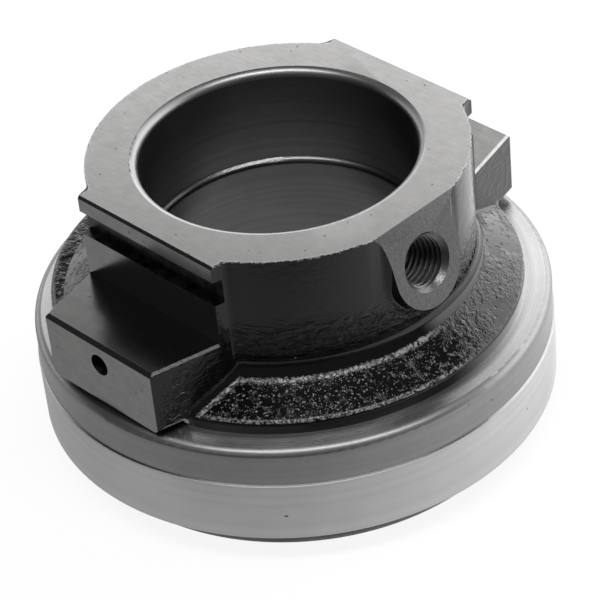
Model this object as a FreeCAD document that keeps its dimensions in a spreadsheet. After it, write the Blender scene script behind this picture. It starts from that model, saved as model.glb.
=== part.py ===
import FreeCAD, Part
import math
import os
import Sketcher

# Clutch release bearing for a heavy vehicle, in millimetres
# Z is the bearing axis, with the thrust face of the turning ring on the plane Z 0
# The fork lugs lie along Y and the threaded port looks along X

os.makedirs("parts", exist_ok=True)
doc = FreeCAD.newDocument("ClutchReleaseBearing")

# Driving dimensions

SIZES = [
    # outside of the bearing, from which every other radius steps inwards
    ("ring_radius", 57.5),
    ("ring_top_height", 30.6),
    ("ring_width", 23.6),
    ("ring_edge_chamfer", 0.5),
    ("ground_band_height", 14.5),
    ("band_relief", 0.4),
    ("ring_corner_round", 1.5),
    ("web_thickness", 4.0),
    # balls and raceways
    ("ball_radius", 6.35),
    ("ball_count", 18),
    ("ball_drop", 16.1),
    ("pitch_inset", 11.0),
    ("raceway_play", 0.08),
    ("raceway_lip_angle", 5.0),
    # turning thrust ring
    ("thrust_edge_round", 1.5),
    ("thrust_bore_inset", 8.9),
    ("thrust_bevel_width", 3.9),
    ("thrust_bevel_height", 3.0),
    ("thrust_shoulder_rise", 1.7),
    # cage, around the balls
    ("cage_base_inset", 5.3),
    ("cage_base_width", 5.4),
    ("cage_base_rise", 2.7),
    ("cage_base_thickness", 5.0),
    ("cage_finger_inset", 2.5),
    ("cage_finger_width", 5.4),
    ("cage_finger_drop", 3.7),
    ("cage_finger_length", 7.8),
    ("pocket_play", 0.2),
    # seals
    ("seal_seat_step", 0.9),
    ("seal_seat_depth", 3.4),
    ("seal_space", 2.2),
    ("seal_press_play", 0.02),
    ("seal_wall", 1.15),
    ("seal_lip_thickness", 0.9),
    ("seal_lip_play", 0.1),
    ("inner_seal_rise", 3.0),
    ("inner_seal_length", 4.0),
    # nose of the sleeve, inside the bearing
    ("nose_end_height", 6.0),
    ("nose_land_length", 9.6),
    ("nose_step", 1.5),
    ("tail_gap", 3.1),
    ("tail_wall", 4.5),
    ("tail_chamfer", 1.0),
    ("locating_play", 0.04),
    # spring and retaining ring around the nose
    ("spring_thickness", 1.2),
    ("spring_height", 2.0),
    ("spring_width", 7.0),
    ("spring_bore_play", 0.3),
    ("snap_thickness", 2.0),
    ("snap_width", 3.0),
    ("snap_groove_depth", 1.6),
    ("snap_opening", 12.0),
    # bore of the sleeve, from its mouth down
    ("mouth_round", 1.8),
    ("upper_land_length", 8.7),
    ("grease_recess_depth", 1.0),
    ("grease_recess_length", 15.0),
    ("recess_foot_round", 1.6),
    # hub, and the flange that sits on the bearing
    ("top_height", 67.0),
    ("hub_wall", 11.2),
    ("flange_width", 10.1),
    ("flange_rim_height", 2.7),
    ("flange_slope", 30.0),
    ("flange_edge_round", 1.5),
    ("back_rim_radius", 49.4),
    ("back_rim_shift", 5.6),
    ("back_rim_rise", 3.4),
    ("hub_fillet", 4.6),
    # flats and grooves
    ("flat_wall", 9.0),
    ("flat_half_width", 20.2),
    ("flat_edge_chamfer", 0.55),
    ("lip_height", 3.8),
    ("groove_height", 5.8),
    ("groove_depth", 2.2),
    # fork lugs
    ("shelf_drop", 19.5),
    ("lug_overhang", 3.8),
    ("lug_tip_half_width", 16.2),
    ("lug_corner_radius", 1.2),
    ("lug_edge_chamfer", 0.85),
    ("lug_side_chamfer", 0.5),
    ("lug_underside_gap", 1.4),
    ("pin_hole_radius", 2.5),
    ("pin_hole_depth", 10.0),
    ("pin_hole_drop", 5.4),
    ("lug_fillet", 2.4),
    # threaded port, square to its inclined face
    ("port_tilt", 15.0),
    ("port_face_inset", 1.75),
    ("port_drop", 11.4),
    ("port_boss_half_width", 9.2),
    ("port_boss_drop", 12.3),
    ("port_boss_depth", 8.0),
    ("boss_fillet", 2.5),
    ("port_core_radius", 5.2),
    ("port_mouth_radius", 6.4),
    ("port_depth", 15.0),
]

sheet = doc.addObject("Spreadsheet::Sheet", "Sizes")
for row, (alias, number) in enumerate(SIZES, start=1):
    sheet.set(f"A{row}", alias)
    sheet.set(f"B{row}", str(number))
    sheet.setAlias(f"B{row}", alias)
doc.recompute()


# A number that keeps the sheet formula behind it

class Size:
    def __init__(self, value, text):
        self.value = value
        self.text = text

    def __add__(self, other):
        other = as_size(other)
        return Size(self.value + other.value, f"({self.text} + {other.text})")

    def __sub__(self, other):
        other = as_size(other)
        return Size(self.value - other.value, f"({self.text} - {other.text})")

    def __mul__(self, other):
        other = as_size(other)
        return Size(self.value * other.value, f"({self.text} * {other.text})")

    def __truediv__(self, other):
        other = as_size(other)
        return Size(self.value / other.value, f"({self.text} / {other.text})")

    def __neg__(self):
        return Size(-self.value, f"(-1 * {self.text})")


def as_size(thing):
    return thing if isinstance(thing, Size) else Size(float(thing), str(thing))


def size(alias):
    return Size(float(sheet.get(alias)), f"Sizes.{alias}")


def sine(angle):
    return Size(math.sin(math.radians(angle.value)), f"sin({angle.text} * 1 deg)")


def cosine(angle):
    return Size(math.cos(math.radians(angle.value)), f"cos({angle.text} * 1 deg)")


def tangent(angle):
    return Size(math.tan(math.radians(angle.value)), f"tan({angle.text} * 1 deg)")


def root(area):
    return Size(math.sqrt(area.value), f"sqrt({area.text})")


def bind(item, name, length):
    item.setExpression(name, as_size(length).text)


# Sketches and features

def new_body(label):
    body = doc.addObject("PartDesign::Body", label)
    body.Label = label
    return body


def origin_plane(body, role):
    for item in body.Origin.OriginFeatures:
        if item.Role == role:
            return item
    raise RuntimeError(f"{body.Label} has no {role}")


def new_sketch(body, name, role):
    sketch = body.newObject("Sketcher::SketchObject", f"{body.Label}_{name}")
    sketch.AttachmentSupport = [(origin_plane(body, role), "")]
    sketch.MapMode = "FlatFace"
    return sketch


def raise_sketch(sketch, height):
    place = FreeCAD.Vector(0, 0, height.value)
    sketch.AttachmentOffset = FreeCAD.Placement(place, FreeCAD.Rotation())
    bind(sketch, "AttachmentOffset.Base.z", height)


def hold_point(sketch, line, end, corner):
    for kind, length in (("DistanceX", corner[0]), ("DistanceY", corner[1])):
        length = as_size(length)
        index = sketch.addConstraint(Sketcher.Constraint(kind, line, end, length.value))
        bind(sketch, f"Constraints[{index}]", length)


# A corner is (across, up), or (across, up, radius, turn) where an arc runs on from it

def draw_outline(sketch, corners):
    count = len(corners)
    first = sketch.GeometryCount
    for number, corner in enumerate(corners):
        after = corners[(number + 1) % count]
        start = FreeCAD.Vector(as_size(corner[0]).value, as_size(corner[1]).value, 0)
        end = FreeCAD.Vector(as_size(after[0]).value, as_size(after[1]).value, 0)
        if len(corner) == 2:
            sketch.addGeometry(Part.LineSegment(start, end), False)
        else:
            sketch.addGeometry(arc_between(start, end, corner[2].value, corner[3]), False)
    for number, corner in enumerate(corners):
        before = corners[number - 1]
        line = first + number
        previous = first + (number - 1) % count
        begins = 1 if len(corner) == 2 or corner[3] == "left" else 2
        ends = 2 if len(before) == 2 or before[3] == "left" else 1
        sketch.addConstraint(Sketcher.Constraint("Coincident", previous, ends, line, begins))
        hold_point(sketch, line, begins, corner)
        if len(corner) == 4:
            index = sketch.addConstraint(Sketcher.Constraint("Radius", line, corner[2].value))
            bind(sketch, f"Constraints[{index}]", corner[2])


# The shorter arc from start to end, bending left (counterclockwise) or right

def arc_between(start, end, radius, turn):
    chord = end.sub(start)
    middle = start.add(end).multiply(0.5)
    reach = math.sqrt(max(radius ** 2 - (chord.Length / 2) ** 2, 0.0))
    side = FreeCAD.Vector(-chord.y, chord.x, 0).normalize()
    if turn == "right":
        side = side.negative()
    centre = middle.add(side.multiply(reach))
    circle = Part.Circle(centre, FreeCAD.Vector(0, 0, 1), radius)
    ends = (start, end) if turn == "left" else (end, start)
    angles = [math.atan2(point.y - centre.y, point.x - centre.x) for point in ends]
    if angles[1] < angles[0]:
        angles[1] += 2 * math.pi
    return Part.ArcOfCircle(circle, angles[0], angles[1])


def draw_circle(sketch, across, up, radius):
    place = FreeCAD.Vector(as_size(across).value, as_size(up).value, 0)
    circle = Part.Circle(place, FreeCAD.Vector(0, 0, 1), as_size(radius).value)
    line = sketch.addGeometry(circle, False)
    hold_point(sketch, line, 3, (across, up))
    index = sketch.addConstraint(Sketcher.Constraint("Radius", line, as_size(radius).value))
    bind(sketch, f"Constraints[{index}]", radius)


def turned(body, name, kind, corners):
    sketch = new_sketch(body, f"{name}_outline", "XZ_Plane")
    draw_outline(sketch, corners)
    feature = body.newObject(kind, f"{body.Label}_{name}")
    feature.Profile = sketch
    feature.ReferenceAxis = (sketch, ["V_Axis"])
    feature.Angle = 360.0
    doc.recompute()
    return feature


def turned_body(label, corners):
    body = new_body(label)
    turned(body, "turning", "PartDesign::Revolution", corners)
    return body


# Heights shared by several pieces

ring_top = size("ring_top_height")
ring_bottom = ring_top - size("ring_width")
ball_height = ring_top - size("ball_drop")
web_under = ring_top - size("web_thickness")
snap_top = web_under - size("spring_height")
snap_bottom = snap_top - size("snap_thickness")
nose_end = size("nose_end_height")
top = size("top_height")
shelf = top - size("shelf_drop")
lug_bottom = ring_top + size("lug_underside_gap")

# Radii shared by several pieces, from the outside of the bearing to the bore and out to the lugs

ring = size("ring_radius")
pitch = ring - size("pitch_inset")
race_radius = size("ball_radius") + size("raceway_play")
lip_angle = size("raceway_lip_angle")
race_far = race_radius * cosine(lip_angle)
race_near = race_radius * sine(lip_angle)
seal_seat = pitch + race_far + size("seal_seat_step")
thrust_edge = seal_seat - size("seal_space")
thrust_bore = pitch - size("thrust_bore_inset")
tail = thrust_bore - size("tail_gap")
nose = tail + size("nose_step")
bore = tail - size("tail_wall")
hub = bore + size("hub_wall")
flange = hub + size("flange_width")
flat = bore + size("flat_wall")
lug_reach = flange + size("lug_overhang")
lug_draft = (size("flat_half_width") - size("lug_tip_half_width")) / (lug_reach - flat)
lug_root = size("lug_tip_half_width") + lug_draft * (lug_reach - bore)

# The flange's top is a cone, and the fillet above it ends at the hub's foot

slope = size("flange_slope")
rim_top = ring_top + size("flange_rim_height")
hub_run = size("hub_fillet") * tangent((as_size(90) - slope) / 2)
hub_foot = rim_top + (flange - hub) * tangent(slope) + hub_run


# Sliding sleeve casting, all but its bore

def sleeve_blank(body):
    cone_top = hub_foot - hub_run - hub_run * sine(slope)
    rim_run = size("flange_edge_round") * tangent((as_size(90) - slope) / 2)
    tail_top = ring_top - size("nose_land_length")
    chamfer = size("tail_chamfer")
    groove = nose - size("snap_groove_depth")
    return turned(body, "blank", "PartDesign::Revolution", [
        (0, nose_end),
        (tail - chamfer, nose_end),
        (tail, nose_end + chamfer),
        (tail, tail_top),
        (nose, tail_top),
        (nose, snap_bottom - size("locating_play")),
        (groove, snap_bottom - size("locating_play")),
        (groove, snap_top + size("locating_play")),
        (nose, snap_top + size("locating_play")),
        (nose, ring_top),
        (flange, ring_top),
        (flange, rim_top - rim_run, size("flange_edge_round"), "left"),
        (flange - rim_run * cosine(slope), rim_top + rim_run * sine(slope)),
        (hub + hub_run * cosine(slope), cone_top, size("hub_fillet"), "right"),
        (hub, hub_foot),
        (hub, top),
        (0, top),
    ])


# One bar through the hub gives both fork lugs and the ears above them, with the draft of the casting

def add_lugs(body):
    sketch = new_sketch(body, "lug_outline", "XY_Plane")
    tip = size("lug_tip_half_width")
    raise_sketch(sketch, lug_bottom)
    draw_outline(sketch, [
        (-tip, -lug_reach),
        (tip, -lug_reach),
        (lug_root, -bore),
        (lug_root, bore),
        (tip, lug_reach),
        (-tip, lug_reach),
        (-lug_root, bore),
        (-lug_root, -bore),
    ])
    pad = body.newObject("PartDesign::Pad", f"{body.Label}_lugs")
    pad.Profile = sketch
    bind(pad, "Length", top - lug_bottom)
    doc.recompute()

    def lower_side(point):
        return abs(point.z - lug_bottom.value) < near and abs(point.x) > tip.value / 2

    fillet_edges(body, "lug_corners", size("lug_corner_radius"), lower_side)


# Fillets and chamfers run along every edge whose middle passes the test, within this distance

near = 0.1


def find_edges(shape, wanted):
    names = []
    for number, edge in enumerate(shape.Edges, start=1):
        middle = edge.valueAt((edge.FirstParameter + edge.LastParameter) / 2)
        if wanted(middle):
            names.append(f"Edge{number}")
    return names


def fillet_edges(body, name, radius, wanted):
    base = body.Tip
    fillet = body.newObject("PartDesign::Fillet", f"{body.Label}_{name}")
    fillet.Base = (base, find_edges(base.Shape, wanted))
    bind(fillet, "Radius", radius)
    doc.recompute()


def chamfer_edges(body, name, length, wanted):
    base = body.Tip
    chamfer = body.newObject("PartDesign::Chamfer", f"{body.Label}_{name}")
    chamfer.Base = (base, find_edges(base.Shape, wanted))
    bind(chamfer, "Size", length)
    doc.recompute()


def round_cast_corners(body):
    tip = size("lug_tip_half_width").value
    boss = size("port_boss_half_width").value

    def lug_foot(point):
        half = tip + lug_draft.value * (lug_reach.value - abs(point.y))
        inside = math.hypot(point.x, point.y) < flange.value - near and point.z < top.value - near
        return abs(abs(point.x) - half) < near and inside

    def front_foot(point):
        return lug_foot(point) and point.y < 0

    def rear_foot(point):
        return lug_foot(point) and point.y > 0

    def boss_foot(point):
        on_hub = abs(math.hypot(point.x, point.y) - hub.value) < near and point.z > hub_foot.value + near
        return on_hub and point.x > 0 and abs(point.y) < boss + near and point.z < top.value - near

    fillet_edges(body, "front_lug_fillet", size("lug_fillet"), front_foot)
    fillet_edges(body, "rear_lug_fillet", size("lug_fillet"), rear_foot)
    fillet_edges(body, "boss_fillet", size("boss_fillet"), boss_foot)


# The flange bulges away from the port: a low disc, off centre, gives its rim there

def add_back_rim(body):
    radius = size("back_rim_radius")
    rim_top = ring_top + size("back_rim_rise")
    edge = size("flange_edge_round")
    disc = turned(body, "back_rim", "PartDesign::Revolution", [
        (0, ring_top),
        (radius, ring_top),
        (radius, rim_top - edge, edge, "left"),
        (radius - edge, rim_top),
        (0, rim_top),
    ])
    sketch = disc.Profile[0]
    shift = -size("back_rim_shift")
    sketch.AttachmentOffset = FreeCAD.Placement(FreeCAD.Vector(shift.value, 0, 0), FreeCAD.Rotation())
    bind(sketch, "AttachmentOffset.Base.x", shift)
    doc.recompute()


# Everything in front of the flat is milled away: groove, wall, shelf and edge chamfers

def cut_flat(body):
    sketch = new_sketch(body, "flat_outline", "YZ_Plane")
    wall = -flat
    deep = wall + size("groove_depth")
    groove_top = top - size("lip_height")
    groove_bottom = groove_top - size("groove_height")
    edge = size("flat_edge_chamfer")
    lug_edge = size("lug_edge_chamfer")
    outside = -lug_reach - lug_edge
    draw_outline(sketch, [
        (wall + edge * 2, top + edge),
        (outside, top + edge),
        (outside, shelf - lug_edge * 2),
        (lug_edge - lug_reach, shelf),
        (wall, shelf),
        (wall, groove_bottom),
        (deep, groove_bottom),
        (deep, groove_top),
        (wall, groove_top),
        (wall, top - edge),
    ])
    pocket = body.newObject("PartDesign::Pocket", f"{body.Label}_flat")
    pocket.Profile = sketch
    pocket.Midplane = True
    bind(pocket, "Length", hub * 2)
    doc.recompute()
    return pocket


def drill_pin_hole(body):
    sketch = new_sketch(body, "pin_hole_outline", "XZ_Plane")
    raise_sketch(sketch, lug_reach)
    draw_circle(sketch, 0, shelf - size("pin_hole_drop"), size("pin_hole_radius"))
    pocket = body.newObject("PartDesign::Pocket", f"{body.Label}_pin_hole")
    pocket.Profile = sketch
    bind(pocket, "Length", size("pin_hole_depth"))
    doc.recompute()
    return pocket


def mirror_to_rear(body, features, name):
    mirror = body.newObject("PartDesign::Mirrored", f"{body.Label}_{name}")
    mirror.Originals = features
    mirror.MirrorPlane = (origin_plane(body, "XZ_Plane"), [""])
    body.Tip = mirror
    doc.recompute()
    return mirror


# Plane of the port's face: it meets the top face at port_face_reach and leans outward below

def port_sketch(body, name):
    sketch = new_sketch(body, name, "YZ_Plane")
    reach = hub - size("port_face_inset")
    lean = -size("port_tilt")
    place = FreeCAD.Vector(0, top.value, reach.value)
    sketch.AttachmentOffset = FreeCAD.Placement(place, FreeCAD.Rotation(FreeCAD.Vector(1, 0, 0), lean.value))
    bind(sketch, "AttachmentOffset.Base.y", top)
    bind(sketch, "AttachmentOffset.Base.z", reach)
    bind(sketch, "AttachmentOffset.Rotation.Angle", lean)
    return sketch


def add_port(body):
    half = size("port_boss_half_width")
    low = -size("port_boss_drop")
    boss_sketch = port_sketch(body, "boss_outline")
    draw_outline(boss_sketch, [
        (-half, low, half, "left"),
        (0, low - half, half, "left"),
        (half, low),
        (half, 0),
        (-half, 0),
    ])
    boss = body.newObject("PartDesign::Pad", f"{body.Label}_boss")
    boss.Profile = boss_sketch
    boss.Reversed = True
    bind(boss, "Length", size("port_boss_depth"))
    doc.recompute()
    face_sketch = port_sketch(body, "face_outline")
    wide = half * 2
    draw_outline(face_sketch, [(-wide, low - half), (wide, low - half), (wide, half), (-wide, half)])
    face = body.newObject("PartDesign::Pocket", f"{body.Label}_port_face")
    face.Profile = face_sketch
    face.Reversed = True
    bind(face, "Length", size("port_boss_depth"))
    doc.recompute()
    return boss


def cut_bore(body):
    depth = size("grease_recess_depth")
    recess = bore + depth
    land_end = top - size("upper_land_length")
    recess_end = land_end - size("grease_recess_length")
    edge = size("recess_foot_round")
    chamfer = size("tail_chamfer")
    mouth = size("mouth_round")
    return turned(body, "bore", "PartDesign::Groove", [
        (0, nose_end),
        (bore + chamfer, nose_end),
        (bore, nose_end + chamfer),
        (bore, recess_end - root(depth * (edge * 2 - depth)), edge, "right"),
        (recess, recess_end),
        (recess, land_end),
        (bore, land_end),
        (bore, top - mouth, mouth, "right"),
        (bore + mouth, top),
        (0, top),
    ])


def drill_port(body):
    sketch = port_sketch(body, "port_outline")
    draw_circle(sketch, 0, -size("port_drop"), size("port_core_radius"))
    doc.recompute()
    hole = body.newObject("PartDesign::Hole", f"{body.Label}_port")
    hole.Profile = sketch
    hole.Threaded = False
    hole.DepthType = "Dimension"
    hole.DrillPoint = "Flat"
    bind(hole, "Diameter", size("port_core_radius") * 2)
    bind(hole, "Depth", size("port_depth"))
    hole.HoleCutType = "Countersink"
    hole.HoleCutCustomValues = True
    hole.HoleCutCountersinkAngle = 90.0
    bind(hole, "HoleCutDiameter", size("port_mouth_radius") * 2)
    doc.recompute()
    return hole


# The shelves' side edges are broken down to the lugs' cast flanks

def chamfer_shelves(body):
    def shelf_side(point):
        beside = abs(point.x) > size("lug_tip_half_width").value and abs(point.y) > flat.value + near
        return beside and abs(point.z - shelf.value) < near

    chamfer_edges(body, "shelf_sides", size("lug_side_chamfer"), shelf_side)


def make_sleeve():
    body = new_body("sliding_sleeve")
    add_lugs(body)
    sleeve_blank(body)
    add_port(body)
    round_cast_corners(body)
    add_back_rim(body)
    flat = cut_flat(body)
    pin_hole = drill_pin_hole(body)
    mirror_to_rear(body, [flat, pin_hole], "flats")
    chamfer_shelves(body)
    cut_bore(body)
    drill_port(body)
    return body


# Fixed outer ring: web on top, raceway in its upper corner, seal seat in its mouth

def make_outer_ring():
    band = ring - size("band_relief")
    band_top = ring_bottom + size("ground_band_height")
    corner = size("ring_corner_round")
    chamfer = size("ring_edge_chamfer")
    web_bore = nose + size("locating_play")
    seat_top = ring_bottom + size("seal_seat_depth")
    return turned_body("outer_ring", [
        (seal_seat, ring_bottom),
        (ring - chamfer, ring_bottom),
        (ring, ring_bottom + chamfer),
        (ring, band_top),
        (band, band_top + size("band_relief")),
        (band, ring_top - corner, corner, "left"),
        (band - corner, ring_top),
        (web_bore, ring_top),
        (web_bore, web_under),
        (pitch + race_near, web_under),
        (pitch + race_near, ball_height + race_far, race_radius, "right"),
        (pitch + race_far, ball_height - race_near),
        (pitch + race_far, seat_top),
        (seal_seat, seat_top),
    ])


# Turning ring: thrust face below, raceway in its inner corner

def make_thrust_ring():
    edge_round = size("thrust_edge_round")
    shoulder = ball_height + size("thrust_shoulder_rise")
    return turned_body("thrust_ring", [
        (thrust_bore + size("thrust_bevel_width"), 0),
        (thrust_edge - edge_round, 0, edge_round, "left"),
        (thrust_edge, edge_round),
        (thrust_edge, ball_height - race_far),
        (pitch + race_near, ball_height - race_far, race_radius, "right"),
        (pitch - race_far, ball_height - race_near),
        (pitch - race_far, shoulder),
        (thrust_bore, shoulder),
        (thrust_bore, size("thrust_bevel_height")),
    ])


# Cage: a base ring above the balls with fingers between them

def make_cage():
    base_inside = pitch - size("cage_base_inset")
    base_outside = base_inside + size("cage_base_width")
    base_bottom = ball_height + size("cage_base_rise")
    base_top = base_bottom + size("cage_base_thickness")
    finger_inside = pitch - size("cage_finger_inset")
    finger_outside = finger_inside + size("cage_finger_width")
    finger_bottom = ball_height - size("cage_finger_drop")
    finger_top = finger_bottom + size("cage_finger_length")
    body = turned_body("cage", [
        (finger_inside, finger_bottom),
        (finger_outside, finger_bottom),
        (finger_outside, finger_top),
        (base_outside, finger_top),
        (base_outside, base_top),
        (base_inside, base_top),
        (base_inside, base_bottom),
        (finger_inside, base_bottom),
    ])
    pocket = body.newObject("PartDesign::SubtractiveSphere", "cage_pocket")
    pocket.AttachmentSupport = [(origin_plane(body, "XY_Plane"), "")]
    pocket.MapMode = "FlatFace"
    place = FreeCAD.Vector(pitch.value, 0, ball_height.value)
    pocket.AttachmentOffset = FreeCAD.Placement(place, FreeCAD.Rotation())
    bind(pocket, "AttachmentOffset.Base.x", pitch)
    bind(pocket, "AttachmentOffset.Base.z", ball_height)
    bind(pocket, "Radius", size("ball_radius") + size("pocket_play"))
    doc.recompute()
    pattern = body.newObject("PartDesign::PolarPattern", "cage_pockets")
    pattern.Originals = [pocket]
    for item in body.Origin.OriginFeatures:
        if item.Role == "Z_Axis":
            pattern.Axis = (item, [""])
    pattern.Angle = 360.0
    bind(pattern, "Occurrences", size("ball_count"))
    body.Tip = pattern
    doc.recompute()
    return body


def make_balls():
    balls = []
    count = int(size("ball_count").value)
    for number in range(count):
        ball = doc.addObject("Part::Sphere", f"ball_{number + 1:02d}")
        ball.Label = f"ball_{number + 1:02d}"
        bind(ball, "Radius", size("ball_radius"))
        turn = as_size(360 * number) / size("ball_count")
        bind(ball, "Placement.Base.x", pitch * cosine(turn))
        bind(ball, "Placement.Base.y", pitch * sine(turn))
        bind(ball, "Placement.Base.z", ball_height)
        balls.append(ball)
    return balls


# Seals are pressed into the outer ring's mouth and onto the nose, with a lip at the turning ring

def make_outer_seal():
    outside = seal_seat - size("seal_press_play")
    wall = outside - size("seal_wall")
    lip = thrust_edge + size("seal_lip_play")
    high = ring_bottom + size("seal_seat_depth") - size("seal_press_play")
    lip_top = ring_bottom + size("seal_lip_thickness")
    return turned_body("outer_seal", [
        (lip, ring_bottom),
        (outside, ring_bottom),
        (outside, high),
        (wall, high),
        (wall, lip_top),
        (lip, lip_top),
    ])


def make_inner_seal():
    inside = tail + size("seal_press_play")
    wall = inside + size("seal_wall")
    lip = thrust_bore - size("seal_lip_play")
    bottom = nose_end + size("inner_seal_rise")
    high = bottom + size("inner_seal_length")
    lip_top = bottom + size("seal_lip_thickness")
    return turned_body("inner_seal", [
        (inside, bottom),
        (lip, bottom),
        (lip, lip_top),
        (wall, lip_top),
        (wall, high),
        (inside, high),
    ])


# Conical spring between the retaining ring and the outer ring's web

def make_disc_spring():
    inside = nose + size("spring_bore_play")
    outside = nose + size("spring_width")
    thick = size("spring_thickness")
    return turned_body("disc_spring", [
        (inside, snap_top),
        (outside, web_under - thick),
        (outside, web_under),
        (inside, snap_top + thick),
    ])


def make_retaining_ring():
    inside = nose - size("snap_groove_depth") + size("locating_play")
    outside = nose + size("snap_width")
    body = turned_body("retaining_ring", [
        (inside, snap_bottom),
        (outside, snap_bottom),
        (outside, snap_top),
        (inside, snap_top),
    ])
    sketch = new_sketch(body, "opening_outline", "XY_Plane")
    half = size("snap_opening") / 2
    raise_sketch(sketch, snap_top)
    draw_outline(sketch, [(-ring, -half), (0, -half), (0, half), (-ring, half)])
    pocket = body.newObject("PartDesign::Pocket", "retaining_ring_opening")
    pocket.Profile = sketch
    bind(pocket, "Length", size("snap_thickness"))
    doc.recompute()
    return body


pieces = [
    make_sleeve(),
    make_outer_ring(),
    make_thrust_ring(),
    make_cage(),
    make_outer_seal(),
    make_inner_seal(),
    make_disc_spring(),
    make_retaining_ring(),
]
pieces.extend(make_balls())
doc.recompute()

# Every object is checked before anything is written

for item in doc.Objects:
    if "Invalid" in item.State or "Error" in item.State:
        raise RuntimeError(f"{item.Label} failed: {item.State}")
for piece in pieces:
    if piece.Shape.isNull() or not piece.Shape.isValid():
        raise RuntimeError(f"{piece.Label} has a bad shape")
    print(piece.Label, len(piece.Shape.Solids), round(piece.Shape.Volume, 1))
for piece in pieces:
    piece.Shape.exportStep(f"parts/{piece.Label}.step")
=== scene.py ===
import bmesh
import bpy
import math
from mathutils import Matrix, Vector


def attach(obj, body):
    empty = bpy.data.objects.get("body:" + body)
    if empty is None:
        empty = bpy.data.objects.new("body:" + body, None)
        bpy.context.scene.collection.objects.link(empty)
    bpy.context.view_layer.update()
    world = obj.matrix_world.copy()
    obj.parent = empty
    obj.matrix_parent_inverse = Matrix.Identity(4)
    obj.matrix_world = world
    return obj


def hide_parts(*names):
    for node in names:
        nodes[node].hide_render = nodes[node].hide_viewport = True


# Clutch release bearing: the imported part, dressed as painted casting, milled iron and ground steel
# Sizes are in millimetres here and in metres in the scene

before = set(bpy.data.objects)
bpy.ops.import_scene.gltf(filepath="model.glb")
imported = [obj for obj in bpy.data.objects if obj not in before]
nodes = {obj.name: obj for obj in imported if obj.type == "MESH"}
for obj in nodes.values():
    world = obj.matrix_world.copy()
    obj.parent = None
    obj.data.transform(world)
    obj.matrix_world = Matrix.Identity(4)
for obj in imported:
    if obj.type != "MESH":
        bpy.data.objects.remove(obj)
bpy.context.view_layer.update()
mm = 0.001


# Small helpers for shader trees

def feed(tree, socket, value):
    if isinstance(value, bpy.types.NodeSocket):
        tree.links.new(value, socket)
    else:
        socket.default_value = value


def addNode(tree, kind, inputs=None, **settings):
    node = tree.nodes.new(kind)
    for name, value in settings.items():
        setattr(node, name, value)
    for name, value in (inputs or {}).items():
        feed(tree, node.inputs[name], value)
    return node


def compute(tree, operation, *values):
    return addNode(tree, "ShaderNodeMath", dict(enumerate(values)), operation=operation).outputs[0]


def plus(tree, first, *others):
    for other in others:
        first = compute(tree, "ADD", first, other)
    return first


def minus(tree, first, second):
    return compute(tree, "SUBTRACT", first, second)


def times(tree, first, *others):
    for other in others:
        first = compute(tree, "MULTIPLY", first, other)
    return first


def larger(tree, first, second):
    return compute(tree, "MAXIMUM", first, second)


def ramp(tree, value, low, high, start=0.0, end=1.0):
    ends = {"Value": value, "From Min": low, "From Max": high, "To Min": start, "To Max": end}
    return addNode(tree, "ShaderNodeMapRange", ends, interpolation_type="SMOOTHSTEP").outputs["Result"]


def fall(tree, value, low, high):
    return ramp(tree, value, low, high, 1.0, 0.0)


def band(tree, value, low, high, soft):
    return times(tree, ramp(tree, value, low - soft, low + soft), fall(tree, value, high - soft, high + soft))


def blendColours(tree, share, first, second):
    return addNode(tree, "ShaderNodeMix", {0: share, 6: first, 7: second}, data_type="RGBA").outputs[2]


def blendValues(tree, share, first, second):
    return addNode(tree, "ShaderNodeMix", {0: share, 2: first, 3: second}, data_type="FLOAT").outputs[0]


def combine(tree, operation, first, second):
    return addNode(tree, "ShaderNodeVectorMath", {0: first, 1: second}, operation=operation).outputs


def scaleBy(tree, place, factor):
    return combine(tree, "MULTIPLY", place, factor)["Vector"]


def along(tree, place, aim):
    return combine(tree, "DOT_PRODUCT", place, aim)["Value"]


def cloud(tree, place, scale, detail=2.0, rough=0.5, twist=0.0):
    settings = {"Vector": place, "Scale": scale, "Detail": detail, "Roughness": rough, "Distortion": twist}
    return addNode(tree, "ShaderNodeTexNoise", settings).outputs["Fac"]


def wander(tree, place, scale, detail, reach):
    noise = addNode(tree, "ShaderNodeTexNoise", {"Vector": place, "Scale": scale, "Detail": detail})
    drift = scaleBy(tree, noise.outputs["Color"], (reach, reach, reach))
    return combine(tree, "ADD", drift, place)["Vector"]


def tatter(tree, place, reach, cloudShape):
    return times(tree, minus(tree, cloud(tree, place, *cloudShape), 0.5), reach * 2)


def grey(level, warmth=0.0):
    return (level * (1 + warmth), level, level * (1 - warmth), 1.0)


# Effects shared by several finishes: an input without a value is a place, one with a value is a number

def newGroup(name, inputs, outputs):
    group = bpy.data.node_groups.new(name, "ShaderNodeTree")
    for socket, value in inputs.items():
        kind = "NodeSocketVector" if value is None else "NodeSocketFloat"
        made = group.interface.new_socket(socket, in_out="INPUT", socket_type=kind)
        if value is not None:
            made.default_value = value
    for socket, kind in outputs.items():
        group.interface.new_socket(socket, in_out="OUTPUT", socket_type=kind)
    return group, group.nodes.new("NodeGroupInput").outputs, group.nodes.new("NodeGroupOutput").inputs


def useGroup(tree, group, **inputs):
    return addNode(tree, "ShaderNodeGroup", inputs, node_tree=group).outputs


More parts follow.
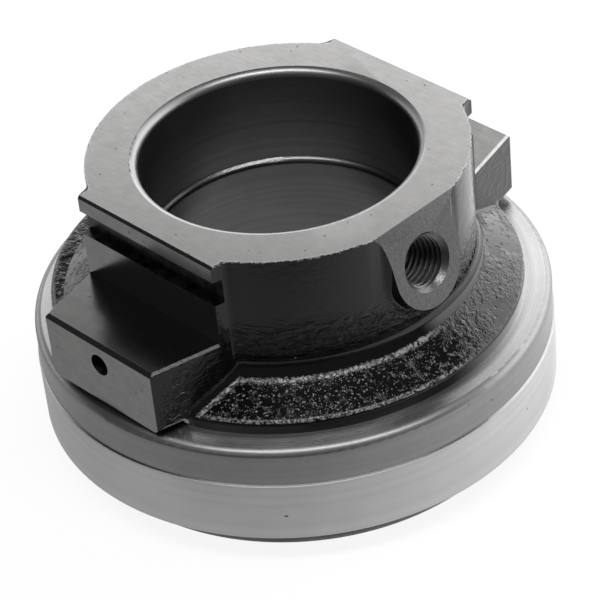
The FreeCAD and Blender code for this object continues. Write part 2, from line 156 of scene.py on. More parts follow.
def makeSizedPlace():
    group, given, made = newGroup("sizedPlace", {"Place": None}, {
        "Millimetres": "NodeSocketVector", "Rings": "NodeSocketVector",
        "Radius": "NodeSocketFloat", "Height": "NodeSocketFloat"})
    sized = scaleBy(group, given["Place"], (1 / mm, 1 / mm, 1 / mm))
    parts = addNode(group, "ShaderNodeSeparateXYZ", {"Vector": sized}).outputs
    flatPlace = addNode(group, "ShaderNodeCombineXYZ", {"X": parts["X"], "Y": parts["Y"]}).outputs[0]
    radius = addNode(group, "ShaderNodeVectorMath", {0: flatPlace}, operation="LENGTH").outputs["Value"]
    rings = addNode(group, "ShaderNodeCombineXYZ", {"X": radius, "Z": parts["Z"]}).outputs[0]
    ready = {"Millimetres": sized, "Rings": rings, "Radius": radius, "Height": parts["Z"]}
    for name, socket in ready.items():
        feed(group, made[name], socket)
    return group


# Small spots scattered over the surface
speckLook = {"wanderScale": 1.6, "wanderDetail": 2.0, "wanderReach": 1.0}


def makeSpecks():
    look = speckLook
    group, given, made = newGroup(
        "specks", {"Place": None, "Scale": 0.5, "Size": 0.15, "Share": 0.3}, {"Mask": "NodeSocketFloat"})
    moved = wander(group, given["Place"], look["wanderScale"], look["wanderDetail"], look["wanderReach"])
    cells = addNode(group, "ShaderNodeTexVoronoi", {"Vector": moved, "Scale": given["Scale"]}).outputs
    spot = compute(group, "LESS_THAN", cells["Distance"], given["Size"])
    chance = addNode(group, "ShaderNodeSeparateColor", {"Color": cells["Color"]}).outputs["Red"]
    chosen = compute(group, "LESS_THAN", chance, given["Share"])
    feed(group, made["Mask"], times(group, spot, chosen))
    return group


# Fine scratches that come and go in patches
hairlineLook = {"wanderScale": 0.07, "wanderDetail": 3.0, "wanderReach": 14.0, "patchCloud": (0.22, 2.0)}


def makeHairlines():
    look = hairlineLook
    group, given, made = newGroup(
        "hairlines", {"Place": None, "Scale": 0.1, "Width": 0.01, "Share": 0.4}, {"Mask": "NodeSocketFloat"})
    moved = wander(group, given["Place"], look["wanderScale"], look["wanderDetail"], look["wanderReach"])
    edges = {"Vector": moved, "Scale": given["Scale"]}
    distance = addNode(group, "ShaderNodeTexVoronoi", edges, feature="DISTANCE_TO_EDGE").outputs["Distance"]
    scratch = compute(group, "LESS_THAN", distance, given["Width"])
    patch = cloud(group, given["Place"], *look["patchCloud"])
    kept = compute(group, "GREATER_THAN", patch, minus(group, 1.0, given["Share"]))
    feed(group, made["Mask"], times(group, scratch, kept))
    return group


# Rings left by the turning tool, and the lighter and darker zones between them
toolRingLook = {
    "grooveCloud": (3.0, 0.7), "broadCloud": (0.6, 2.0), "broadShare": 0.5, "driftCloud": (0.05, 2.0),
}


def makeToolRings():
    look = toolRingLook
    group, given, made = newGroup(
        "toolRings", {"Rings": None, "Place": None, "Fineness": 4.0},
        {"Grooves": "NodeSocketFloat", "Shade": "NodeSocketFloat"})
    grooves = cloud(group, given["Rings"], given["Fineness"], *look["grooveCloud"])
    broad = cloud(group, given["Rings"], *look["broadCloud"])
    drift = cloud(group, given["Place"], *look["driftCloud"])
    feed(group, made["Grooves"], grooves)
    feed(group, made["Shade"], blendValues(group, look["broadShare"], drift, broad))
    return group


sizedPlace = makeSizedPlace()
specks = makeSpecks()
hairlines = makeHairlines()
toolRings = makeToolRings()


def speckle(tree, place, scale, size, share):
    return useGroup(tree, specks, Place=place, Scale=scale, Size=size, Share=share)["Mask"]


def turnMarks(tree, place, fineness):
    return useGroup(tree, toolRings, Rings=place["Rings"], Place=place["Millimetres"], Fineness=fineness)


# A finish starts from its Principled shader, with the place of each point in millimetres

def newFinish(name, **constants):
    material = bpy.data.materials.new(name)
    material.use_nodes = True
    tree = material.node_tree
    shader = tree.nodes["Principled BSDF"]
    for socket, value in constants.items():
        shader.inputs[socket].default_value = value
    objectPlace = addNode(tree, "ShaderNodeTexCoord").outputs["Object"]
    return material, tree, shader, useGroup(tree, sizedPlace, Place=objectPlace)


def roughen(tree, shader, height, depth):
    bump = addNode(tree, "ShaderNodeBump", {"Height": height, "Distance": depth * mm, "Strength": 1.0})
    tree.links.new(bump.outputs["Normal"], shader.inputs["Normal"])


def turnGrain(tree, shader, amount):
    tangent = addNode(tree, "ShaderNodeTangent", direction_type="RADIAL", axis="Z")
    tree.links.new(tangent.outputs["Tangent"], shader.inputs["Tangent"])
    shader.inputs["Anisotropic"].default_value = amount
    shader.inputs["Anisotropic Rotation"].default_value = 0.25  # a quarter turn lays it along the rings


# The flange's cone, left rough from the mould: specks (lighter towards the front as painted glints), dents
# and, towards the front, a painted highlight line round it
# A cloud is given as scale, detail, roughness and twist, and specks as scale, size and share

coneLook = {
    "low": 33.2, "high": 39.2, "highSoft": 0.3, "inside": 42.7, "beside": 1.2, "soft": 0.1, "slope": 0.6,
    "edgeWidth": 0.9, "ragged": 0.6, "raggedCloud": (1.5, 3.0, 0.7),
    # front points towards the camera and the lamp: the painted highlight line and most of the painted glints
    # lie on that side
    "front": (0.748, -0.664, 0.0), "frontRange": (0.68, 0.8),
    "lineCloud": (1.3, 3.0, 0.7), "lineRange": (0.42, 0.56), "lineHighlight": 0.5, "lineRoughness": 0.3,
    "crumbs": 0.2,
    "largeSpecks": (1.1, 0.22, 0.8), "smallSpecks": (2.1, 0.24, 0.55), "speckRest": 0.25,
    "speckGlintAndWear": 0.22, "speckRoughness": 0.31,
    "dents": 0.22, "dentCloud": (0.7, 3.0, 0.6), "dentRange": (0.28, 0.43),
    "peel": 0.42, "peelCloud": (0.75, 3.0, 0.55, 0.6),
    "patchCloud": (0.09, 2.0), "patchRange": (0.4, 0.58, 0.12, 1.0),
}


def pickCone(tree, place, beside, tatters, inset):
    look = coneLook
    slope = look["slope"]
    picked = fall(tree, place["Height"], look["high"], look["high"] + look["highSoft"])
    for value, edge in (
        (plus(tree, beside, tatters), look["beside"] + inset),
        (plus(tree, place["Radius"], tatters), look["inside"] + inset),
        (plus(tree, place["Height"], times(tree, tatters, slope)), look["low"] + inset * slope),
    ):
        picked = times(tree, picked, ramp(tree, value, edge - look["soft"], edge + look["soft"]))
    return picked


def markCone(tree, place, beside):
    look = coneLook
    point = place["Millimetres"]
    tatters = tatter(tree, point, look["ragged"], look["raggedCloud"])
    cone = pickCone(tree, place, beside, tatters, 0.0)
    middle = pickCone(tree, place, beside, tatters, look["edgeWidth"])
    turned = compute(tree, "DIVIDE", along(tree, point, look["front"]), place["Radius"])
    facing = ramp(tree, turned, *look["frontRange"])
    broken = ramp(tree, cloud(tree, point, *look["lineCloud"]), *look["lineRange"])
    # The line is a painted highlight: along the cone's edges, on the side facing the camera and lamp, the
    # paint is drawn lighter where the lamp's reflection runs
    line = times(tree, minus(tree, cone, middle), facing, broken)
    # Specks are rough flecks all round; towards the camera and lamp they are also drawn lighter as painted
    # glints
    large = speckle(tree, point, *look["largeSpecks"])
    small = speckle(tree, point, *look["smallSpecks"])
    spots = times(tree, larger(tree, large, small), cone, larger(tree, facing, look["speckRest"]))
    return cone, facing, line, spots


def coneRelief(tree, point, cone, facing, line):
    look = coneLook
    dents = ramp(tree, cloud(tree, point, *look["dentCloud"]), *look["dentRange"], -1.0, 0.0)
    dents = times(tree, dents, look["dents"])
    patchy = ramp(tree, cloud(tree, point, *look["patchCloud"]), *look["patchRange"])
    away = times(tree, minus(tree, 1.0, facing), look["peel"])
    peel = times(tree, cloud(tree, point, *look["peelCloud"]), away, patchy)
    crumbs = times(tree, line, look["crumbs"])
    return times(tree, plus(tree, dents, peel, crumbs), cone)


# Black gloss paint over the cast skin: wavy at the hub's foot, worn to metal along the milled edges

paintLook = {
    "colour": 0.0022, "shine": 0.34, "roughness": 0.05, "reliefDepth": 1.0,
    "grain": 0.004, "grainCloud": (2.2, 3.0, 0.6),
    "bareAndGlintColour": 0.42, "bareRoughness": 0.35, "chips": (0.3, 0.06, 0.22),
    "topHeight": 67.0, "nibble": 1.8, "nibbleCloud": (1.1, 4.0, 0.75),
    "lugTip": 16.2, "lugReach": 55.1, "lugTaper": 0.248,
    "hubEdge": (41.5, 42.1), "hubFoot": (41.4, 43.9), "footFade": (44.4, 53.0), "footLeast": 0.1,
    "flankEdge": (0.05, 0.4), "flankFoot": (42.7, 44.7), "flankShare": 0.2,
    "waveShape": (0.8, 0.8, 1.5), "wave": 0.8, "waveCloud": (0.5, 3.0, 0.5, 0.5),
    "ripple": 0.3, "rippleCloud": (1.1, 2.0, 0.5, 0.4),
}


def besideLug(tree, place):
    look = paintLook
    parts = addNode(tree, "ShaderNodeSeparateXYZ", {"Vector": place["Millimetres"]}).outputs
    fromTip = minus(tree, look["lugReach"], compute(tree, "ABSOLUTE", parts["Y"]))
    side = compute(tree, "MULTIPLY_ADD", fromTip, look["lugTaper"], look["lugTip"])
    return minus(tree, compute(tree, "ABSOLUTE", parts["X"]), side)


def paintWaves(tree, place, beside, onHub):
    look = paintLook
    nearFoot = ramp(tree, place["Height"], *look["footFade"], 1.0, look["footLeast"])
    onFlank = times(
        tree, fall(tree, beside, *look["flankEdge"]), ramp(tree, place["Radius"], *look["flankFoot"]),
        look["flankShare"])
    where = larger(tree, times(tree, onHub, nearFoot), onFlank)
    flatter = scaleBy(tree, place["Millimetres"], look["waveShape"])
    waves = times(tree, cloud(tree, flatter, *look["waveCloud"]), look["wave"])
    ripples = times(tree, cloud(tree, flatter, *look["rippleCloud"]), look["ripple"])
    return times(tree, plus(tree, waves, ripples), where)


def makeCastPaint():
    look = paintLook
    material, tree, shader, place = newFinish("castPaint", **{"Specular IOR Level": look["shine"]})
    point = place["Millimetres"]
    beside = besideLug(tree, place)
    cone, facing, line, spots = markCone(tree, place, beside)
    aboveFoot = ramp(tree, place["Height"], *look["hubFoot"])
    onHub = times(tree, fall(tree, place["Radius"], *look["hubEdge"]), aboveFoot)
    crust = coneRelief(tree, point, cone, facing, line)
    waves = paintWaves(tree, place, beside, onHub)
    grain = times(tree, cloud(tree, point, *look["grainCloud"]), look["grain"])
    roughen(tree, shader, plus(tree, crust, waves, grain), look["reliefDepth"])
    nibbled = plus(tree, place["Height"], tatter(tree, point, look["nibble"], look["nibbleCloud"]))
    bareTop = compute(tree, "GREATER_THAN", nibbled, look["topHeight"])
    bare = larger(tree, bareTop, times(tree, speckle(tree, point, *look["chips"]), onHub))
    # Painted highlight and glints: the edge line and the specks facing the lamp lighten the paint towards
    # bare metal; specks elsewhere are lighter wear
    glintsAndWear = larger(tree, times(tree, line, coneLook["lineHighlight"]), times(tree, spots, coneLook["speckGlintAndWear"]))
    wornAndGlinted = blendColours(tree, glintsAndWear, grey(look["colour"]), grey(look["bareAndGlintColour"]))
    rough = blendValues(tree, spots, look["roughness"], coneLook["speckRoughness"])
    rough = blendValues(tree, line, rough, coneLook["lineRoughness"])
    feed(tree, shader.inputs["Base Color"], blendColours(tree, bare, wornAndGlinted, grey(look["bareAndGlintColour"])))
    feed(tree, shader.inputs["Roughness"], blendValues(tree, bare, rough, look["bareRoughness"]))
    feed(tree, shader.inputs["Metallic"], bare)
    return material


# Milled iron: the open end, and darker on the flats, the shelves and the ends of the lugs

milledLook = {
    "lineShape": (0.12, 2.4, 2.4), "lineCloud": (1.0, 4.0, 0.7), "lineShare": 0.5,
    "mottleCloud": (0.35, 4.0, 0.6), "shadeRange": (0.3, 0.7), "warmth": 0.01,
    "roughness": (0.2, 0.8, 0.23, 0.18),
    "pits": (0.45, 0.12, 0.25), "pitShare": 0.7, "pitColour": 0.03,
}
topLook = {"name": "milledTop", "colour": 0.375, "dark": 0.325, "grain": 0.004}
flatLook = {"name": "milledFlats", "colour": 0.27, "dark": 0.21, "grain": 0.008}

# The open end's edges: frayed under the paint, burred beside it, and duller inside the mouth
edgeLook = {
    "hub": 41.2, "ears": 20.2, "nibble": 1.1, "nibbleCloud": (1.1, 4.0, 0.75), "paintWithin": 0.02,
    "burr": (0.14, 0.35), "burrColour": 0.5,
    "mouth": (66.87, 66.97), "mouthColour": 0.24, "mouthRoughness": 0.4,
}


def frayEdges(tree, place, colour, rough):
    look = edgeLook
    point = place["Millimetres"]
    across = addNode(tree, "ShaderNodeSeparateXYZ", {"Vector": point}).outputs["X"]
    fromHub = minus(tree, look["hub"], place["Radius"])
    fromEars = minus(tree, look["ears"], compute(tree, "ABSOLUTE", across))
    ragged = tatter(tree, point, look["nibble"], look["nibbleCloud"])
    gap = plus(tree, ragged, larger(tree, fromHub, fromEars))
    paint = compute(tree, "LESS_THAN", gap, look["paintWithin"])
    mouth = fall(tree, place["Height"], *look["mouth"])
    colour = blendColours(tree, fall(tree, gap, *look["burr"]), colour, grey(look["burrColour"]))
    colour = blendColours(tree, paint, colour, grey(paintLook["colour"]))
    colour = blendColours(tree, mouth, colour, grey(look["mouthColour"]))
    rough = blendValues(tree, paint, rough, paintLook["roughness"])
    rough = blendValues(tree, mouth, rough, look["mouthRoughness"])
    return colour, rough, minus(tree, 1.0, paint)


def makeMilledIron(own, frayed):
    look = milledLook
    material, tree, shader, place = newFinish(own["name"])
    point = place["Millimetres"]
    lines = cloud(tree, scaleBy(tree, point, look["lineShape"]), *look["lineCloud"])
    shade = blendValues(tree, look["lineShare"], cloud(tree, point, *look["mottleCloud"]), lines)
    dark, light = grey(own["dark"], look["warmth"]), grey(own["colour"], look["warmth"])
    colour = blendColours(tree, ramp(tree, shade, *look["shadeRange"]), dark, light)
    pits = speckle(tree, point, *look["pits"])
    colour = blendColours(tree, times(tree, pits, look["pitShare"]), colour, grey(look["pitColour"]))
    rough, metal = ramp(tree, shade, *look["roughness"]), 1.0
    if frayed:
        colour, rough, metal = frayEdges(tree, place, colour, rough)
    for socket, value in (("Base Color", colour), ("Roughness", rough), ("Metallic", metal)):
        feed(tree, shader.inputs[socket], value)
    roughen(tree, shader, plus(tree, lines, pits), own["grain"])
    return material


# Outer ring: satin band above, ground band below, turned annulus on top

ringLook = {
    "groundColour": 0.57, "groundRoughness": 0.38, "satinColour": 0.27, "satinRoughness": 0.3,
    "topColour": 0.68, "topRoughness": 0.28, "cornerColour": 0.25, "cornerRoughness": 0.42,
    # The ledge's lighter colour is painted light: it brightens the step between the bands so its dark
    # reflection doesn't show as a line
    "ledgeColour": 0.55, "ledgeRoughness": 0.6,
    "satinHeight": (21.5, 30.4, 0.08), "topHeight": (30.35, 30.45),
    "cornerRadius": (55.5, 55.7), "cornerHeight": (29.2, 29.9),
    "ledgeHeight": (21.44, 21.6, 0.02), "ledgeRadius": (57.14, 57.47, 0.02),
    "fineness": 4.0, "shade": (0.3, 0.7, 0.86, 1.06), "uneven": (0.3, 0.7, -0.03, 0.05),
    "grain": 0.012, "cornerGrain": 0.15, "turnGrain": 0.5,
    "scratches": {"Scale": 0.16, "Width": 0.008, "Share": 0.5}, "scratchShare": 0.13, "scratchColour": 0.5,
    "dots": (0.16, 0.06, 0.3), "dotShare": 0.8, "dotColour": 0.05,
}


def markRing(tree, place):
    look = ringLook
    height, radius = place["Height"], place["Radius"]
    satin = band(tree, height, *look["satinHeight"])
    top = ramp(tree, height, *look["topHeight"])
    corner = times(
        tree, ramp(tree, radius, *look["cornerRadius"]), ramp(tree, height, *look["cornerHeight"]))
    # The step between the bands, drawn lighter as painted light
    ledge = times(
        tree, band(tree, height, *look["ledgeHeight"]), band(tree, radius, *look["ledgeRadius"]))
    return {"satin": satin, "top": top, "corner": corner, "ledge": ledge}


def makeRingSteel():
    look = ringLook
    material, tree, shader, place = newFinish("ringSteel", Metallic=1.0)
    point = place["Millimetres"]
    turned = turnMarks(tree, place, look["fineness"])
    zones = markRing(tree, place)
    colour, rough = grey(look["groundColour"]), look["groundRoughness"]
    for name, mask in zones.items():
        colour = blendColours(tree, mask, colour, grey(look[name + "Colour"]))
        rough = blendValues(tree, mask, rough, look[name + "Roughness"])
    colour = scaleBy(tree, colour, ramp(tree, turned["Shade"], *look["shade"]))
    scratches = useGroup(tree, hairlines, Place=point, **look["scratches"])["Mask"]
    scratched = times(tree, scratches, times(tree, zones["satin"], look["scratchShare"]))
    colour = blendColours(tree, scratched, colour, grey(look["scratchColour"]))
    dots = times(tree, speckle(tree, point, *look["dots"]), look["dotShare"])
    feed(tree, shader.inputs["Base Color"], blendColours(tree, dots, colour, grey(look["dotColour"])))
    uneven = ramp(tree, turned["Grooves"], *look["uneven"])
    feed(tree, shader.inputs["Roughness"], plus(tree, rough, uneven))
    calm = blendValues(tree, zones["corner"], 1.0, look["cornerGrain"])
    roughen(tree, shader, times(tree, turned["Grooves"], calm), look["grain"])
    turnGrain(tree, shader, look["turnGrain"])
    return material


# Finishes with one tone: turned ones follow the tool's rings, the others a cloud

boreLook = {  # bore and grease recess: smooth and dark
    "name": "boreIron", "metal": 1.0, "fineness": 5.0, "shadeRange": (0.3, 0.7),
    "dark": grey(0.105), "light": grey(0.15), "roughness": (0.26, 0.36), "grain": 0.012,
}
portLook = {  # granular spot face, countersink and thread
    "name": "portIron", "metal": 1.0, "cloud": (2.2, 3.0, 0.6), "shadeRange": (0.35, 0.65),
    "dark": grey(0.09375), "light": grey(0.125), "roughness": (0.41, 0.31), "grain": 0.055,
}
grooveLook = {  # very dark iron in the undercuts
    "name": "grooveIron", "metal": 1.0, "cloud": (0.5, 3.0),
    "dark": grey(0.03), "light": grey(0.08), "roughness": (0.25, 0.4), "grain": 0.02,
}
thrustLook = {  # hardened, ground and a little blue
    "name": "thrustSteel", "metal": 1.0, "fineness": 4.0, "shadeRange": (0.3, 0.7),
    "dark": (0.075, 0.085, 0.1, 1.0), "light": (0.16, 0.165, 0.175, 1.0), "roughness": (0.23, 0.36),
    "grain": 0.01, "turnGrain": 0.4,
}
ballLook = {
    "name": "ballSteel", "metal": 1.0, "cloud": (0.4, 3.0),
    "dark": grey(0.5), "light": grey(0.62), "roughness": (0.06, 0.14),
}
cageLook = {
    "name": "cagePlastic", "metal": 0.0, "cloud": (1.5, 3.0),
    "dark": (0.36, 0.28, 0.16, 1.0), "light": (0.5, 0.41, 0.26, 1.0), "roughness": (0.42, 0.55),
    "grain": 0.02,
}
sealLook = {
    "name": "sealRubber", "metal": 0.0, "fineness": 2.0,
    "dark": grey(0.012), "light": grey(0.03), "roughness": (0.5, 0.65), "grain": 0.02,
}
springLook = {
    "name": "springSteel", "metal": 1.0, "fineness": 2.5,
    "dark": (0.09, 0.1, 0.14, 1.0), "light": (0.2, 0.2, 0.22, 1.0), "roughness": (0.25, 0.4),
    "grain": 0.012,
}
marksRange = (0.3, 0.7)  # what part of the marks' strength turns the finish from smooth to rough


def makeFinish(look):
    material, tree, shader, place = newFinish(look["name"], Metallic=look["metal"])
    if "fineness" in look:
        turned = turnMarks(tree, place, look["fineness"])
        shade, marks = turned["Shade"], turned["Grooves"]
    else:
        shade = marks = cloud(tree, place["Millimetres"], *look["cloud"])
    if "shadeRange" in look:
        shade = ramp(tree, shade, *look["shadeRange"])
    feed(tree, shader.inputs["Base Color"], blendColours(tree, shade, look["dark"], look["light"]))
    feed(tree, shader.inputs["Roughness"], ramp(tree, marks, *marksRange, *look["roughness"]))
    if "grain" in look:
        roughen(tree, shader, marks, look["grain"])
    if "turnGrain" in look:
        turnGrain(tree, shader, look["turnGrain"])
    return material


sleeveFinishes = {
    "paint": makeCastPaint(),
    "groove": makeFinish(grooveLook),
    "top": makeMilledIron(topLook, True),
    "flats": makeMilledIron(flatLook, False),
    "bore": makeFinish(boreLook),
    "port": makeFinish(portLook),
}
print("sleeve finishes made")


# Port: its thread is a spun profile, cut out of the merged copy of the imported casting

portSizes = {
    "face": (42.4005, 0.0, 55.9885), "tilt": 15.0, "mouth": 6.4, "thread": 6.05, "inside": 5.0, "pitch": 1.5,
    "rootHalf": 0.08, "openHalf": 0.6, "above": 1.2, "below": 14.0, "steps": 40,
}
portFace = Vector(portSizes["face"])
portTilt = math.radians(portSizes["tilt"])
portAxis = Vector((math.cos(portTilt), 0.0, math.sin(portTilt)))


def makeThreadCutter():
    size = portSizes
    across = Vector((0.0, 1.0, 0.0))
    bm = bmesh.new()
    corners = []
    for reach, offset in (
        (size["inside"], -size["openHalf"]),
        (size["inside"], size["openHalf"]),
        (size["thread"], size["rootHalf"]),
        (size["thread"], -size["rootHalf"]),
    ):
        corners.append(bm.verts.new(portFace + across * reach + portAxis * (offset + size["above"])))
    profile = bm.faces.new(corners)
    steps = round((size["above"] + size["below"]) / size["pitch"] * size["steps"])
    bmesh.ops.spin(
        bm, geom=[profile, *profile.edges, *profile.verts], cent=portFace, axis=portAxis,
        dvec=-portAxis * size["pitch"] / size["steps"], angle=2 * math.pi * steps / size["steps"],
        steps=steps, use_duplicate=False)
    bmesh.ops.recalc_face_normals(bm, faces=bm.faces)
    return newPiece("threadCutter", bm)


def newPiece(name, bm):
    mesh = bpy.data.meshes.new(name)
    bm.to_mesh(mesh)
    bm.free()
    piece = bpy.data.objects.new(name, mesh)
    bpy.context.scene.collection.objects.link(piece)
    return piece


def mergedCopy(node, mergeReach=1e-6):
    bm = bmesh.new()
    bm.from_mesh(nodes[node].data)
    bmesh.ops.remove_doubles(bm, verts=bm.verts, dist=mergeReach)
    bmesh.ops.scale(bm, verts=bm.verts, vec=(1 / mm, 1 / mm, 1 / mm))
    return newPiece(node + "_skin", bm)


def cutThread(piece):
    cutter = makeThreadCutter()
    modifier = piece.modifiers.new("thread", "BOOLEAN")
    modifier.operation = "DIFFERENCE"
    modifier.solver = "EXACT"
    modifier.object = cutter
    shaped = piece.evaluated_get(bpy.context.evaluated_depsgraph_get())
    mesh = bpy.data.meshes.new_from_object(shaped)
    piece.modifiers.clear()
    piece.data = mesh
    bpy.data.objects.remove(cutter)


# Sleeve: each face of the casting takes its finish from where it lies and which way it looks

sleeveSizes = {
    "top": 67.0, "shelf": 47.5, "flat": 39.0, "flatHalf": 21.0, "bore": 33.0, "mouthLow": 65.0, "nose": 30.7,
    "grooveFloor": 36.8, "grooveLow": 57.4, "grooveHigh": 63.2, "portInside": 30.5,
    "lugEnd": 55.1, "lugChamfer": 2.0, "pinHeight": 42.1, "pin": 2.6, "pinInside": 44.0,
    "near": 0.02, "level": 0.999, "tilted": 0.4, "steep": 0.7, "sideways": 0.05, "sharpAngle": 24.0,
}


def onPort(centre, normal, fromAxis):
    size = sleeveSizes
    away = centre - portFace
    depth = away.dot(portAxis)
    spotFace = abs(depth) < size["near"] and normal.dot(portAxis) > size["level"]
    within = (away - portAxis * depth).length < portSizes["mouth"] + size["near"]
    hole = depth < size["near"] and within and centre.x > 0 and fromAxis > size["portInside"]
    return spotFace or hole


def onMilled(centre, normal, out):
    size = sleeveSizes
    near = size["near"]
    level = normal.z > size["level"]
    facing = max(abs(normal.y), abs(normal.z)) > size["steep"] and abs(normal.x) < size["sideways"]
    flat = facing and centre.z > size["shelf"] - near and abs(centre.x) < size["flatHalf"]
    flat = flat and size["grooveFloor"] - near < out < size["flat"] + near
    shelf = level and abs(centre.z - size["shelf"]) < near
    chamfer = normal.z > size["tilted"] and size["shelf"] - size["lugChamfer"] < centre.z < size["shelf"]
    return flat or shelf or (chamfer and out > size["flat"])


def finishOf(centre, normal):
    size = sleeveSizes
    near = size["near"]
    out = abs(centre.y)
    fromAxis = math.hypot(centre.x, centre.y)
    if onPort(centre, normal, fromAxis):
        return "port"
    if fromAxis < size["bore"] and centre.z > size["mouthLow"]:
        return "top"
    if fromAxis < size["bore"] or centre.z < size["nose"]:
        return "bore"
    if normal.z > size["level"] and centre.z > size["top"] - near:
        return "top"
    inPinHole = math.hypot(centre.x, centre.z - size["pinHeight"]) < size["pin"]
    if inPinHole and size["pinInside"] < out < size["lugEnd"] - near:
        return "bore"
    if out > size["lugEnd"] - near:
        return "flats"
    atGroove = size["grooveLow"] - near < centre.z < size["grooveHigh"] + near
    inGroove = size["grooveFloor"] - near < out < size["flat"] - near
    if atGroove and inGroove and abs(normal.x) < size["sideways"]:
        return "groove"
    return "flats" if onMilled(centre, normal, out) else "paint"


def makeSleeveSkin():
    piece = mergedCopy("sliding_sleeve")
    cutThread(piece)
    order = list(sleeveFinishes)
    piece.data.materials.clear()
    for name in order:
        piece.data.materials.append(sleeveFinishes[name])
    bm = bmesh.new()
    bm.from_mesh(piece.data)
    bm.normal_update()
    for face in bm.faces:
        face.smooth = True
        face.material_index = order.index(finishOf(face.calc_center_median(), face.normal))
    for edge in bm.edges:
        sharp = len(edge.link_faces) == 2 and edge.calc_face_angle() > math.radians(sleeveSizes["sharpAngle"])
        edge.smooth = not sharp
    bmesh.ops.scale(bm, verts=bm.verts, vec=(mm, mm, mm))
    bm.to_mesh(piece.data)
    bm.free()
    even = piece.modifiers.new("evenNormals", "WEIGHTED_NORMAL")
    even.keep_sharp = True
    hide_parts("sliding_sleeve")
    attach(piece, "sleeve")
    return piece


sleeveSkin = makeSleeveSkin()
print("sleeve skin made", len(sleeveSkin.data.polygons))


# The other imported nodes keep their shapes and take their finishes

def dress(names, material):
    for name in names:
        for slot in nodes[name].material_slots:
            slot.material = material


dress(["outer_ring"], makeRingSteel())
dress(["thrust_ring"], makeFinish(thrustLook))
dress([name for name in nodes if name.startswith("ball_")], makeFinish(ballLook))
dress(["cage"], makeFinish(cageLook))
dress(["outer_seal", "inner_seal"], makeFinish(sealLook))
dress(["disc_spring", "retaining_ring"], makeFinish(springLook))
print("nodes dressed")


# Floor: plain and pale; in reflections it is brighter to the right and dark near the camera

floorLook = {
    "reach": 3.0, "colour": 0.9, "roughness": 0.9, "glowShare": 0.9,
    "right": (0.5, 0.86, 0.0), "rightGlow": (-0.05, 0.16, 0.52, 1.5),
    "near": (0.748, -0.664, 0.0), "nearGlow": (0.11, 0.2, 1.0, 0.12),
}


def makeFloor():
    look = floorLook
    bm = bmesh.new()
    bmesh.ops.create_grid(bm, x_segments=1, y_segments=1, size=look["reach"])
    floor = newPiece("floor", bm)
    material = bpy.data.materials.new("paleFloor")
    material.use_nodes = True
    tree = material.node_tree
    shader = tree.nodes["Principled BSDF"]
    shader.inputs["Base Color"].default_value = grey(look["colour"])
    shader.inputs["Roughness"].default_value = look["roughness"]
    place = addNode(tree, "ShaderNodeTexCoord").outputs["Object"]
    glow = ramp(tree, along(tree, place, look["right"]), *look["rightGlow"])
    glow = times(tree, glow, ramp(tree, along(tree, place, look["near"]), *look["nearGlow"]))
    rays = addNode(tree, "ShaderNodeLightPath").outputs
    bounced = larger(tree, rays["Is Glossy Ray"], rays["Is Transmission Ray"])
    strength = blendValues(tree, rays["Is Camera Ray"], glow, 1.0)
    lit = addNode(tree, "ShaderNodeEmission", {"Strength": strength})
    share = blendValues(tree, rays["Is Camera Ray"], bounced, look["glowShare"])
    mixed = addNode(tree, "ShaderNodeMixShader", {"Fac": share})
    tree.links.new(shader.outputs[0], mixed.inputs[1])
    tree.links.new(lit.outputs[0], mixed.inputs[2])
    tree.links.new(mixed.outputs[0], tree.nodes["Material Output"].inputs["Surface"])
    floor.data.materials.append(material)


# Room: white to the camera; for the light it is dim, bright low down behind the part,
# brightest behind and to the right, and dark up on the left

roomLook = {
    "dim": 0.16, "dark": 0.015, "left": (-0.6, -0.53, 0.6), "leftRange": (0.55, 0.85),
    "leanSide": (0.5, 0.866, 0.0),
    "brightSides": (
        {"aim": (-0.8, 0.6, 0.0), "width": (0.2, 0.5), "height": (0.5, 0.6), "lean": 0.2, "bright": 1.7},
        {"aim": (0.1, 0.995, 0.0), "width": (0.55, 0.75), "height": (0.62, 0.86), "lean": 0.0, "bright": 3.4},
    ),
}


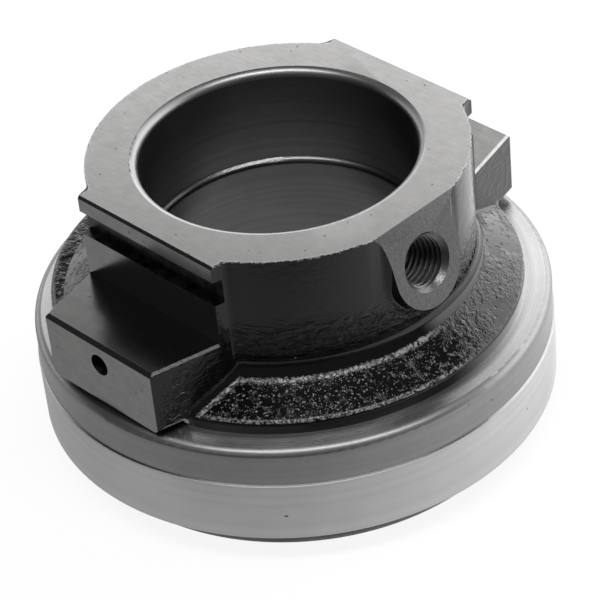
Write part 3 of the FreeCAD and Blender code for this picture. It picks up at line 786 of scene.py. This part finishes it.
def makeRoom():
    look = roomLook
    world = bpy.data.worlds.new("studio")
    bpy.context.scene.world = world
    world.use_nodes = True
    tree = world.node_tree
    background = tree.nodes["Background"]
    direction = addNode(tree, "ShaderNodeTexCoord").outputs["Generated"]
    height = addNode(tree, "ShaderNodeSeparateXYZ", {"Vector": direction}).outputs["Z"]
    onLeft = ramp(tree, along(tree, direction, look["left"]), *look["leftRange"])
    room = blendValues(tree, onLeft, look["dim"], look["dark"])
    for side in look["brightSides"]:
        share = ramp(tree, along(tree, direction, side["aim"]), *side["width"])
        reach = plus(tree, height, times(tree, along(tree, direction, look["leanSide"]), -side["lean"]))
        share = times(tree, share, fall(tree, reach, *side["height"]))
        room = blendValues(tree, share, room, side["bright"])
    rays = addNode(tree, "ShaderNodeLightPath").outputs
    feed(tree, background.inputs["Strength"], blendValues(tree, rays["Is Camera Ray"], room, 1.0))
    background.inputs["Color"].default_value = grey(1.0)


frontBox = {"at": (0.27, -0.24, 1.05), "aim": (0.0, 0.0, 0.03), "size": (1.2, 0.2), "power": 11.5}


def addLamp():
    data = bpy.data.lights.new("frontBox", "AREA")
    data.shape = "RECTANGLE"
    data.size, data.size_y = frontBox["size"]
    data.energy = frontBox["power"]
    lamp = bpy.data.objects.new("frontBox", data)
    lamp.location = frontBox["at"]
    aim = Vector(frontBox["aim"]) - lamp.location
    lamp.rotation_euler = aim.to_track_quat("-Z", "Y").to_euler()
    bpy.context.scene.collection.objects.link(lamp)


cameraView = {
    "at": (0.35036, -0.30916, 0.37963), "turn": (52.7104, 4.7725, 44.7764), "lens": 158.85, "sensor": 36.0,
    "nearest": 0.01, "farthest": 20.0,
}


def addCamera():
    data = bpy.data.cameras.new("camera")
    data.lens = cameraView["lens"]
    data.sensor_width = cameraView["sensor"]
    data.clip_start = cameraView["nearest"]
    data.clip_end = cameraView["farthest"]
    camera = bpy.data.objects.new("camera", data)
    camera.location = cameraView["at"]
    camera.rotation_euler = [math.radians(angle) for angle in cameraView["turn"]]
    bpy.context.scene.collection.objects.link(camera)
    bpy.context.scene.camera = camera


makeFloor()
makeRoom()
addLamp()
addCamera()
bpy.context.scene.view_settings.view_transform = "Standard"
print("studio ready")
